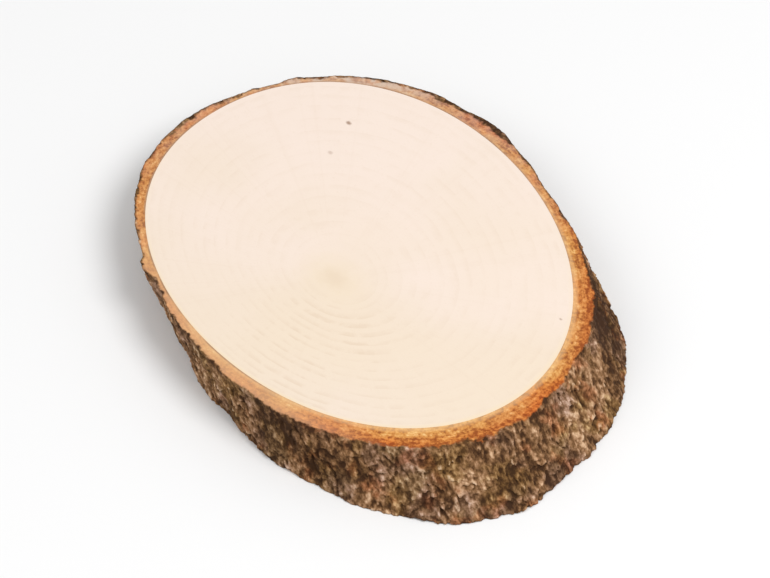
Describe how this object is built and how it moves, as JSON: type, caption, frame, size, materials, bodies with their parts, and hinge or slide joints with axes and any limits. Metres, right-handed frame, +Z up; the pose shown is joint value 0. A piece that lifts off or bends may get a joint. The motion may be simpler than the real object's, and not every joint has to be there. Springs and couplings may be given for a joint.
{
  "type": "wood slice",
  "caption": "Thin oval slice of a bark-covered branch, sawn at a slant, with two flat parallel faces and bark left on all round.",
  "frame": {"origin": "middle of the slice's box, on the lower cut face", "axes": "+X along the long axis, towards the end where the bark slopes outwards and faces up; +Z up, square to the cut faces"},
  "size_m": [0.1022, 0.0724, 0.01],
  "materials": {
    "sapwood": "pale fine-grained hardwood, sawn and sanded, with faint growth rings, unvarnished",
    "bark": "rough grey-brown bark, dark in its cracks and pale with lichen on its ridges, orange-brown where the saw cut it"
  },
  "bodies": {
    "root": {"wood_slice": "sapwood"}
  },
  "joints": []
}
